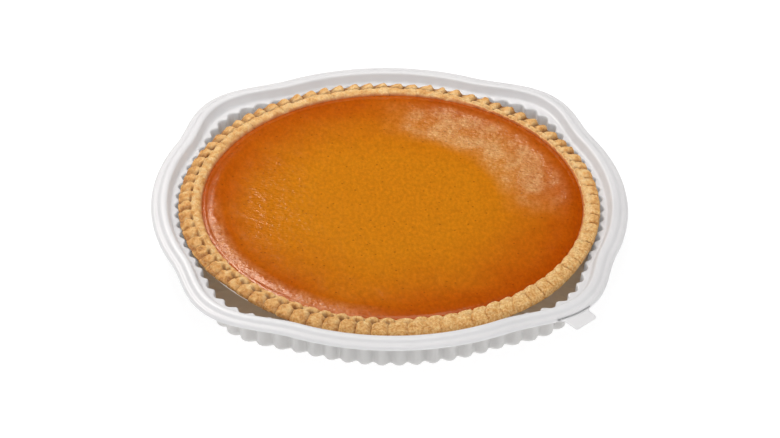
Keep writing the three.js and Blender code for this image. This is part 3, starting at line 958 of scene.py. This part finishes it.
# %% Tray finish
def tray_finish():
    """White polystyrene sheet, thermoformed: to the eye a satin white, softly lit from within, with painted
    shade on the wall's outer skin and in the pockets.
    """
    material, tree, place = new_finish("thermoformed_white_polystyrene")
    # Clouds of 45 mm, where the sheet stretched unevenly.
    cloud = add(tree, "ShaderNodeTexNoise", None, {"Vector": place, "Scale": per_metre(45), "Detail": 2.0})
    white = add(tree, "ShaderNodeValToRGB", {"stops": [(0.3, "#d7d6d7"), (0.7, "#dbdadb")]},
                {"Fac": cloud.outputs["Fac"]})
    outside = add(tree, "ShaderNodeAttribute", {"attribute_name": "outside"}).outputs["Fac"]
    # Painted shade: the wall's outer skin is mixed to a greyer white.
    outer_skin_shaded = add(tree, "ShaderNodeMix", {"data_type": "RGBA"},
                    {"Factor": outside, FIRST: white.outputs["Color"], SECOND: linear("#d5d3d1")})
    height = add(tree, "ShaderNodeSeparateXYZ", None, {"Vector": place}).outputs["Z"]
    # Painted shade in the pockets: below the ledge the inside of the wall turns brown, most from 12 mm down.
    below_ledge = add(tree, "ShaderNodeMapRange", None,
                      {"Value": height, "From Min": 26.0 * MM, "From Max": 12.0 * MM, "To Max": 0.8})
    inside = add(tree, "ShaderNodeMath", {"operation": "SUBTRACT"},
                 {0: below_ledge.outputs["Result"], 1: outside})
    pocket_shade = add(tree, "ShaderNodeClamp", None, {"Value": inside.outputs["Value"]})
    colour = add(tree, "ShaderNodeMix", {"data_type": "RGBA"},
                 {"Factor": pocket_shade.outputs["Result"], FIRST: outer_skin_shaded.outputs[MIXED],
                  SECOND: linear("#c4aa8a")})
    gloss = add(tree, "ShaderNodeMapRange", None,
                {"Value": cloud.outputs["Fac"], "To Min": 0.30, "To Max": 0.40})
    # The mould's blasted grain is about 0.1 mm, too fine to show, so it is drawn at 1.2 mm.
    grain = add(tree, "ShaderNodeTexNoise", None, {"Vector": place, "Scale": per_metre(1.2), "Detail": 2.0})
    bump = add(tree, "ShaderNodeBump", None,
               {"Strength": 0.12, "Distance": 0.05 * MM, "Height": grain.outputs["Fac"]})
    shader = add(tree, "ShaderNodeBsdfPrincipled", None,
                 {"Base Color": colour.outputs[MIXED], "Roughness": gloss.outputs["Result"],
                  "IOR": 1.49, "Subsurface Weight": 0.8, "Subsurface Radius": (1.0, 1.0, 1.0),
                  "Subsurface Scale": 3.0 * MM, "Normal": bump.outputs["Normal"]})
    close_finish(tree, shader)
    return material


dress(tray, tray_finish(), "tray")

# %% [markdown]
# ## Pressed aluminium foil
# Foil is bright where it is clean, and never quite flat, so small dents scatter its reflections. Its base
# colour runs from pale at the front to brown further back, and the rolled hem stays bright. The metallic
# share is low, so it scatters light more like varnish than like a mirror.
# The brown could be a second shader over the metal. A colour that changes from front to back is simpler,
# and looks the same at this size.

# %% Foil finish
def foil_finish():
    """Aluminium foil, pressed: dented, pale at the front and brown further back, with a bright hem."""
    material, tree, place = new_finish("pressed_aluminium_foil")
    along = add(tree, "ShaderNodeSeparateXYZ", None, {"Vector": place})
    # The base colour runs from pale at the front to brown 40 mm further back.
    behind = add(tree, "ShaderNodeMapRange", None,
                 {"Value": along.outputs["Y"], "From Min": -132.0 * MM, "From Max": -92.0 * MM})
    tone_shift = add(tree, "ShaderNodeValToRGB", {"stops": [(0.0, "#efe2cf"), (1.0, "#b98548")]},
               {"Fac": behind.outputs["Result"]})
    hem = add(tree, "ShaderNodeMapRange", None,
              {"Value": along.outputs["Z"], "From Min": 27.6 * MM, "From Max": 28.4 * MM})
    colour = add(tree, "ShaderNodeMix", {"data_type": "RGBA"},
                 {"Factor": hem.outputs["Result"], FIRST: tone_shift.outputs["Color"], SECOND: linear("#f8f2e8")})
    # Dents of 6 mm, from handling.
    dents = add(tree, "ShaderNodeTexNoise", None, {"Vector": place, "Scale": per_metre(6), "Detail": 3.0})
    bump = add(tree, "ShaderNodeBump", None,
               {"Strength": 0.5, "Distance": 0.4 * MM, "Height": dents.outputs["Fac"]})
    shader = add(tree, "ShaderNodeBsdfPrincipled", None,
                 {"Base Color": colour.outputs[MIXED], "Metallic": 0.15, "Roughness": 0.5,
                  "Normal": bump.outputs["Normal"]})
    close_finish(tree, shader)
    return material


dress(foil_pan, foil_finish(), "foil_pan")

# %% [markdown]
# ## Baked shortcrust
# Shortcrust is flour and butter, so it bakes to a dry, matte, sandy gold. High and thin places brown first,
# and flour leaves fine specks everywhere. Creases look dark because light hardly reaches them, and the colour
# adds painted shade there: the deeper in a crease, the darker brown.
# The mesh carries four marks: how brown a point is baked, how deep in a crease it lies, which sets that
# painted shade, how far custard has soaked into the lip, and how sandy the surface is. The colour starts
# from those before the noise goes over it. A painted image could do the same for one view, but noise holds
# from every side.

# %% Pastry finish
def pastry_finish():
    """Shortcrust, baked: dry and matte, gold to brown in blotches, with pale specks of flour and painted
    shade in its creases.
    """
    material, tree, place = new_finish("baked_shortcrust_pastry")
    bake, crease, lip, sandy = (add(tree, "ShaderNodeAttribute", {"attribute_name": mark}).outputs["Fac"]
                                for mark in ("bake", "crease", "lip", "sandy"))
    # Blotches of 5 mm, where butter lay thicker, push the baked mark up and down.
    blotch = add(tree, "ShaderNodeTexNoise", None, {"Vector": place, "Scale": per_metre(5), "Detail": 3.0})
    spread = add(tree, "ShaderNodeMath", {"operation": "MULTIPLY_ADD"},
                 {0: blotch.outputs["Fac"], 1: 1.7, 2: -0.70})
    browned = add(tree, "ShaderNodeMath", {"operation": "MULTIPLY_ADD"},
                  {0: bake, 1: 0.42, 2: spread.outputs["Value"]})
    gold = add(tree, "ShaderNodeValToRGB",
               {"stops": [(0.0, "#f6d096"), (0.35, "#ebb571"), (0.62, "#d9954b"), (0.9, "#ab652a")]},
               {"Fac": browned.outputs["Value"]})
    # Specks of flour are about 0.4 mm, too fine to show one by one, so they are drawn at 1.5 mm.
    speck = add(tree, "ShaderNodeTexNoise", None,
                {"Vector": place, "Scale": per_metre(1.5), "Detail": 4.0, "Roughness": 0.65})
    flour = add(tree, "ShaderNodeValToRGB",
                {"stops": [(0.34, "#b1712f"), (0.48, "#dba860"), (0.62, "#f7d99c")]},
                {"Fac": speck.outputs["Fac"]})
    sandiness = add(tree, "ShaderNodeMapRange", None, {"Value": sandy, "To Min": 0.34, "To Max": 0.60})
    speckled = add(tree, "ShaderNodeMix", {"data_type": "RGBA"},
                   {"Factor": sandiness.outputs["Result"], FIRST: gold.outputs["Color"],
                    SECOND: flour.outputs["Color"]})
    soaked = add(tree, "ShaderNodeMapRange", None,
                 {"Value": lip, "From Min": 0.15, "From Max": 0.75, "To Min": 0.0, "To Max": 0.85})
    stain = add(tree, "ShaderNodeMix", {"data_type": "RGBA"},
                {"Factor": soaked.outputs["Result"], FIRST: speckled.outputs[MIXED],
                 SECOND: linear("#c26428")})
    # Painted shade: the deeper a point lies in a crease, the more its colour goes towards dark brown.
    painted_crease_shade = add(tree, "ShaderNodeMapRange", None,
                {"Value": crease, "From Min": 0.05, "From Max": 0.9, "To Min": 0.0, "To Max": 0.9})
    colour = add(tree, "ShaderNodeMix", {"data_type": "RGBA"},
                 {"Factor": painted_crease_shade.outputs["Result"], FIRST: stain.outputs[MIXED], SECOND: linear("#6f3a12")})
    # Crumb of 2 mm.
    crumb = add(tree, "ShaderNodeTexNoise", None,
                {"Vector": place, "Scale": per_metre(2.0), "Detail": 4.0, "Roughness": 0.6})
    bump = add(tree, "ShaderNodeBump", None,
               {"Strength": 0.8, "Distance": 0.6 * MM, "Height": crumb.outputs["Fac"]})
    shader = add(tree, "ShaderNodeBsdfPrincipled", None,
                 {"Base Color": colour.outputs[MIXED], "Roughness": 0.68, "IOR": 1.40,
                  "Subsurface Weight": 0.10, "Subsurface Radius": (1.0, 0.55, 0.25),
                  "Subsurface Scale": 1.5 * MM, "Normal": bump.outputs["Normal"]})
    close_finish(tree, shader)
    return material


dress(crust, pastry_finish(), "crust")

# %% [markdown]
# ## Baked pumpkin custard
# Custard is a smooth gel of egg, milk and pumpkin, dense and only slightly translucent. Where the oven
# reached it first, near the crust, its sugars have caramelised from ochre to burnt orange, with an uneven
# boundary. The mark `share` is the distance from the middle as a part of the radius; noise bends it before a
# ramp turns it into colour.
# The skin has a moist gloss with a buttery tint, and holds pinpricks and dark flecks of spice. The mark
# `skin` says how strongly wrinkles and dimples stand out. The dull mark says where the skin is rougher and
# where a paler colour is painted on in patches, as painted sheen. The relief is centred on zero before the
# mark scales it, so that a wrinkled patch doesn't stand up as a step.
# A gradient texture could give the zones of colour too, but the mark keeps to the custard's own middle.

# %% Custard colour
# The share of the radius at which each colour is reached.
CUSTARD_ZONES = [(0.45, "#cf7d12"), (0.62, "#cb7610"), (0.76, "#c56c10"), (0.90, "#bc5a0a"),
                 (1.0, "#b14d05")]


def custard_colour(tree, place, dull):
    """The custard's colour: ochre to burnt orange, mottled, flecked with spice, and paler where a sheen is
    painted.
    """
    share = add(tree, "ShaderNodeAttribute", {"attribute_name": "share"}).outputs["Fac"]
    # The boundary wanders by up to 0.18 of the radius, in bends of 60 mm.
    drift = add(tree, "ShaderNodeTexNoise", None, {"Vector": place, "Scale": per_metre(60), "Detail": 3.0})
    bent = add(tree, "ShaderNodeMath", {"operation": "MULTIPLY_ADD"},
               {0: drift.outputs["Fac"], 1: 0.36, 2: share})
    centred = add(tree, "ShaderNodeMath", {"operation": "SUBTRACT"}, {0: bent.outputs["Value"], 1: 0.18})
    zones = add(tree, "ShaderNodeValToRGB", {"stops": CUSTARD_ZONES}, {"Fac": centred.outputs["Value"]})
    # Mottling of 2.4 mm, drawn out towards the back.
    drawn_out = add(tree, "ShaderNodeMapping", None, {"Vector": place, "Scale": (1.0, 0.6, 1.0)})
    mottle = add(tree, "ShaderNodeTexNoise", None,
                 {"Vector": drawn_out.outputs["Vector"], "Scale": per_metre(2.4), "Detail": 4.0,
                  "Roughness": 0.6})
    mottled = add(tree, "ShaderNodeMapRange", None,
                  {"Value": mottle.outputs["Fac"], "From Min": 0.3, "From Max": 0.7, "To Min": 0.84,
                   "To Max": 1.14})
    shaded = add(tree, "ShaderNodeMix", {"data_type": "RGBA", "blend_type": "MULTIPLY"},
                 {"Factor": 1.0, FIRST: zones.outputs["Color"], SECOND: mottled.outputs["Result"]})
    # Flecks of spice about 1 mm wide, one in every cell of 6.5 mm.
    fleck = add(tree, "ShaderNodeTexVoronoi", None, {"Vector": place, "Scale": per_metre(6.5)})
    spice = add(tree, "ShaderNodeMapRange", None,
                {"Value": fleck.outputs["Distance"], "From Min": 0.07, "From Max": 0.14,
                 "To Min": 0.50, "To Max": 0.0})
    flecked = add(tree, "ShaderNodeMix", {"data_type": "RGBA"},
                  {"Factor": spice.outputs["Result"], FIRST: shaded.outputs[MIXED],
                   SECOND: linear("#6b2f08")})
    # Painted sheen: where the dull mark is high, the colour is mixed in patches towards a pale peach.
    tone_shift = add(tree, "ShaderNodeMapRange", None,
               {"Value": mottle.outputs["Fac"], "From Min": 0.35, "From Max": 0.65,
                "To Min": 0.18, "To Max": 0.58})
    painted_sheen = add(tree, "ShaderNodeMath", {"operation": "MULTIPLY"}, {0: dull, 1: tone_shift.outputs["Result"]})
    colour = add(tree, "ShaderNodeMix", {"data_type": "RGBA"},
                 {"Factor": painted_sheen.outputs["Value"], FIRST: flecked.outputs[MIXED], SECOND: linear("#f2ca8e")})
    return colour.outputs[MIXED]


print("custard's colours from the middle outwards:", [colour for _, colour in CUSTARD_ZONES])

# %% Custard finish
def custard_finish():
    """Pumpkin custard, baked: a moist satin gel with a fine wrinkled skin."""
    material, tree, place = new_finish("baked_pumpkin_custard")
    skin, dull = (add(tree, "ShaderNodeAttribute", {"attribute_name": mark}).outputs["Fac"]
                  for mark in ("skin", "dull"))
    # Wrinkles of 1.7 mm that run slantwise, over dimples of 4 mm.
    slanted = add(tree, "ShaderNodeMapping", None,
                  {"Vector": place, "Rotation": (0.0, 0.0, math.radians(42.0)), "Scale": (0.6, 1.0, 1.0)})
    wrinkle = add(tree, "ShaderNodeTexNoise", None,
                  {"Vector": slanted.outputs["Vector"], "Scale": per_metre(1.7), "Detail": 3.0,
                   "Roughness": 0.55})
    dimple = add(tree, "ShaderNodeTexNoise", None, {"Vector": place, "Scale": per_metre(4.0), "Detail": 2.0})
    ripples = add(tree, "ShaderNodeMath", {"operation": "ADD"},
                  {0: wrinkle.outputs["Fac"], 1: dimple.outputs["Fac"]})
    level = add(tree, "ShaderNodeMath", {"operation": "SUBTRACT"}, {0: ripples.outputs["Value"], 1: 1.0})
    relief = add(tree, "ShaderNodeMath", {"operation": "MULTIPLY"}, {0: level.outputs["Value"], 1: skin})
    bump = add(tree, "ShaderNodeBump", None,
               {"Strength": 1.0, "Distance": 1.1 * MM, "Height": relief.outputs["Value"]})
    gloss = add(tree, "ShaderNodeMapRange", None, {"Value": dull, "To Min": 0.17, "To Max": 0.38})
    shader = add(tree, "ShaderNodeBsdfPrincipled", None,
                 {"Base Color": custard_colour(tree, place, dull), "Roughness": gloss.outputs["Result"],
                  "IOR": 1.47, "Specular Tint": linear("#ffeacb"),
                  "Subsurface Weight": 0.08, "Subsurface Radius": (1.0, 0.35, 0.08),
                  "Subsurface Scale": 1.5 * MM, "Normal": bump.outputs["Normal"]})
    close_finish(tree, shader)
    return material


dress(filling, custard_finish(), "filling")

# %% [markdown]
# ## Floor
# The set is a sheet of matte white paper. It glows a little by itself and reflects less than real paper
# would, so that it stays white in the tray's shadow, and is still only just white where the light is full:
# against a floor many times brighter than white, the tray's edge would look ragged.
# A white world without a floor would do for the background, but the tray would then cast no shadow.

# %% Floor
def floor_finish():
    """White paper, matte: even and dull, with a faint glow of its own."""
    material, tree, place = new_finish("matte_white_paper")
    grain = add(tree, "ShaderNodeTexNoise", None, {"Vector": place, "Scale": per_metre(400), "Detail": 1.0})
    colour = add(tree, "ShaderNodeValToRGB", {"stops": [(0.4, "#a4a4a4"), (0.6, "#a6a6a6")]},
                 {"Fac": grain.outputs["Fac"]})
    shader = add(tree, "ShaderNodeBsdfPrincipled", None,
                 {"Base Color": colour.outputs["Color"], "Roughness": 0.9, "Specular IOR Level": 0.2,
                  "Emission Color": linear("#ffffff"), "Emission Strength": 0.76})
    close_finish(tree, shader)
    return material


FLOOR_HALF = 3.0
FLOOR_DROP = 0.0002
floor_mesh = bpy.data.meshes.new("paper_floor")
corners = [(x * FLOOR_HALF, y * FLOOR_HALF, -FLOOR_DROP) for x, y in ((-1, -1), (1, -1), (1, 1), (-1, 1))]
floor_mesh.from_pydata(corners, [], [(0, 1, 2, 3)])
floor = bpy.data.objects.new("paper_floor", floor_mesh)
bpy.context.scene.collection.objects.link(floor)
floor_mesh.materials.append(floor_finish())
print("floor, metres on a side:", 2 * FLOOR_HALF)

# %% [markdown]
# ## Light
# The light is that of a food studio. A large softbox overhead shapes the pads and the tray, and a smaller,
# stronger one, behind the pie and a little to the left, lies as a sheen on the custard's ring and its back
# right. Straight behind the pie the surroundings are dark, like a black card held there, because a glossy
# surface is only as deep in colour as what it mirrors. They are also dimmer near the horizon.
# An image of a studio could light it too, but two lamps and a few nodes are easy to move.

# %% Softboxes
def softbox(name, place, aim, width, height, radiance, tint):
    """A rectangular light of a given brightness: its power is pi times radiance times area."""
    light = bpy.data.lights.new(name, "AREA")
    light.shape = "RECTANGLE"
    light.size, light.size_y = width, height
    light.energy = math.pi * radiance * width * height
    light.color = linear(tint)[:3]
    lamp = bpy.data.objects.new(name, light)
    bpy.context.scene.collection.objects.link(lamp)
    lamp.location = place
    lamp.rotation_euler = (Vector(aim) - Vector(place)).to_track_quat("-Z", "Y").to_euler()
    lamp.visible_camera = False
    print(name, "power in W:", round(light.energy, 1))
    return lamp


def from_direction(azimuth, elevation, distance):
    """A place seen from the pie: azimuth is clockwise from straight behind it, both angles in degrees."""
    a, e = math.radians(azimuth), math.radians(elevation)
    return (distance * math.sin(a) * math.cos(e), distance * math.cos(a) * math.cos(e),
            distance * math.sin(e))


PIE_TOP = (0.0, 0.0, 0.03)
softbox("overhead", from_direction(-10, 82, 1.5), PIE_TOP, 0.9, 0.7, 2.2, "#ffffff")
softbox("key", from_direction(-24, 48, 1.6), PIE_TOP, 0.34, 0.48, 20.5, "#fffaf6")

# %% Surroundings
SURROUND_STRENGTH = 0.86
HORIZON_STRENGTH = 0.50
CARD_DIRECTION = (0.0, 0.805, 0.593)
CARD_HALF, CARD_FADE = 26.0, 62.0

world = bpy.data.worlds.new("studio")
bpy.context.scene.world = world
world.use_nodes = True
studio = world.node_tree
studio.nodes.clear()
heading = add(studio, "ShaderNodeTexCoord").outputs["Generated"]
towards_card = add(studio, "ShaderNodeVectorMath", {"operation": "DOT_PRODUCT"},
                   {0: heading, 1: CARD_DIRECTION})
beside_card = add(studio, "ShaderNodeMapRange", {"interpolation_type": "SMOOTHSTEP"},
                  {"Value": towards_card.outputs["Value"],
                   "From Min": math.cos(math.radians(CARD_FADE)),
                   "From Max": math.cos(math.radians(CARD_HALF)),
                   "To Min": SURROUND_STRENGTH, "To Max": 0.0})
elevation = add(studio, "ShaderNodeSeparateXYZ", None, {"Vector": heading}).outputs["Z"]
horizon = add(studio, "ShaderNodeMapRange", {"interpolation_type": "SMOOTHSTEP"},
              {"Value": elevation, "From Min": 0.05, "From Max": 0.55,
               "To Min": HORIZON_STRENGTH, "To Max": 1.0})
strength = add(studio, "ShaderNodeMath", {"operation": "MULTIPLY"},
               {0: beside_card.outputs["Result"], 1: horizon.outputs["Result"]})
sky = add(studio, "ShaderNodeBackground", None,
          {"Color": linear("#ffffff"), "Strength": strength.outputs["Value"]})
add(studio, "ShaderNodeOutputWorld", None, {"Surface": sky.outputs["Background"]})
print("nodes of the surroundings:", len(studio.nodes))

# %% [markdown]
# ## Camera
# The camera looks down on the pie from the front, about as steeply as someone standing at a table would. A
# long lens far away keeps the rim's near and far sides alike in size. It is placed by angles round the point
# it looks at, so it can be walked round or tilted without losing the pie. The colours are judged on screen,
# so the view uses the standard transform.
# A Track To constraint could aim it, but a matrix also holds its slight roll.

# %% Camera
IMAGE_WIDTH = 780
FOCAL_PIXELS = 2372.0
SENSOR = 36.0
CAMERA_DISTANCE = 1.700
CAMERA_ELEVATION = math.radians(36.53)
CAMERA_AZIMUTH = math.radians(-3.174)
CAMERA_ROLL = math.radians(-0.947)
LOOK_RIGHT, LOOK_BACK, LOOK_HEIGHT = 0.00046, -0.02808, 0.033

right = Vector((math.cos(CAMERA_AZIMUTH), math.sin(CAMERA_AZIMUTH), 0.0))
back = Vector((-math.sin(CAMERA_AZIMUTH), math.cos(CAMERA_AZIMUTH), 0.0))
view = back * math.cos(CAMERA_ELEVATION) - Vector((0, 0, math.sin(CAMERA_ELEVATION)))
up = right.cross(view)
aim = right * LOOK_RIGHT + back * LOOK_BACK + Vector((0, 0, LOOK_HEIGHT))
image_right = right * math.cos(CAMERA_ROLL) - up * math.sin(CAMERA_ROLL)
image_up = right * math.sin(CAMERA_ROLL) + up * math.cos(CAMERA_ROLL)
lens = bpy.data.cameras.new("camera")
lens.sensor_width = SENSOR
lens.lens = FOCAL_PIXELS / IMAGE_WIDTH * SENSOR
lens.clip_start = 0.05
camera = bpy.data.objects.new("camera", lens)
bpy.context.scene.collection.objects.link(camera)
turn = Matrix((image_right, image_up, -view)).transposed().to_4x4()
camera.matrix_world = Matrix.Translation(aim - view * CAMERA_DISTANCE) @ turn
bpy.context.scene.camera = camera
bpy.context.scene.view_settings.view_transform = "Standard"
print("lens in mm:", round(lens.lens, 1))
